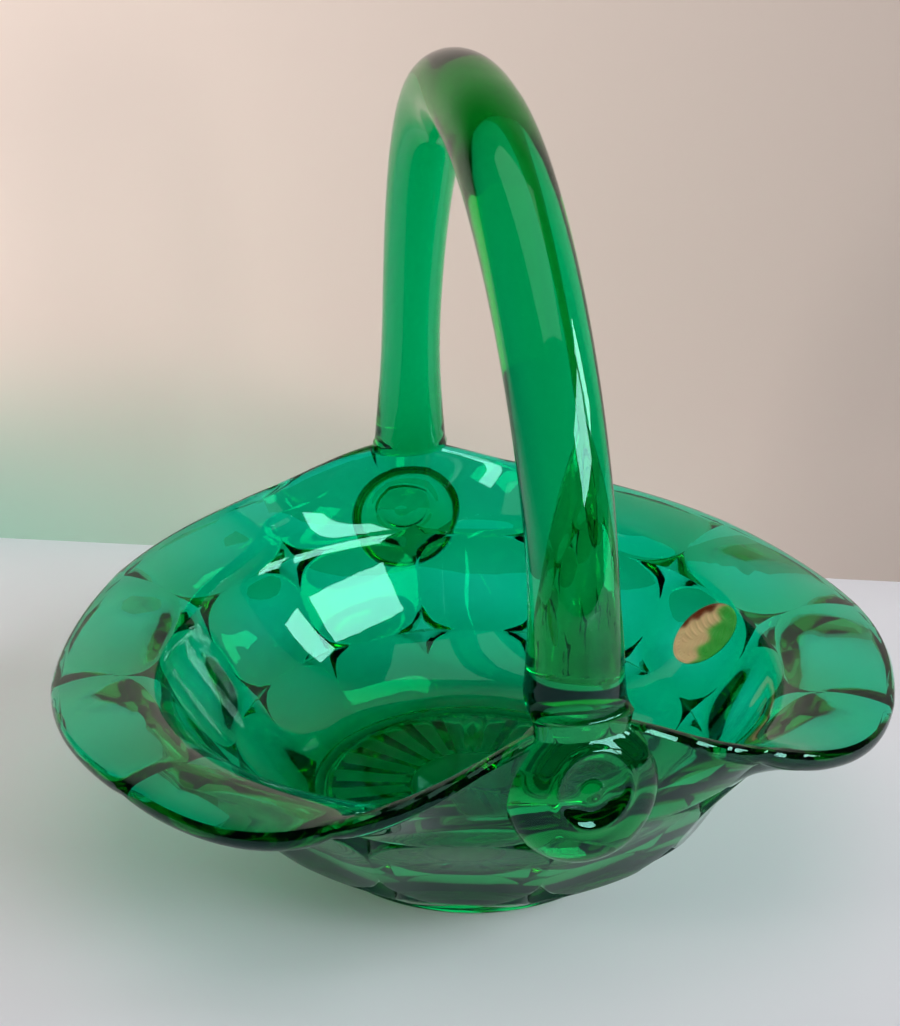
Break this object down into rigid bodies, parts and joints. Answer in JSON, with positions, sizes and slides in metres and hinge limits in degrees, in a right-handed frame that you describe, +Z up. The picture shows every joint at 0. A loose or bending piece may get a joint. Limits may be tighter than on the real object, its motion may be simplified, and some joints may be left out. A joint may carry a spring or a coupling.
{
  "type": "glass basket",
  "caption": "Pressed green glass basket: a panelled round bowl with a pulled, flaring rim, a tall rod handle stamped onto its outer wall, and an oval foil seal inside.",
  "frame": {"origin": "on the table, at the centre of the round foot", "axes": "+Z up out of the bowl, +Y from one handle end towards the other (the one whose rim is a little higher), +X towards the lobe that carries the foil seal"},
  "size_m": [0.2461, 0.2061, 0.2247],
  "materials": {
    "green_glass": "gloss",
    "foil": "satin"
  },
  "bodies": {
    "root": {"basket": "green_glass", "foil_label": "foil"}
  },
  "joints": []
}
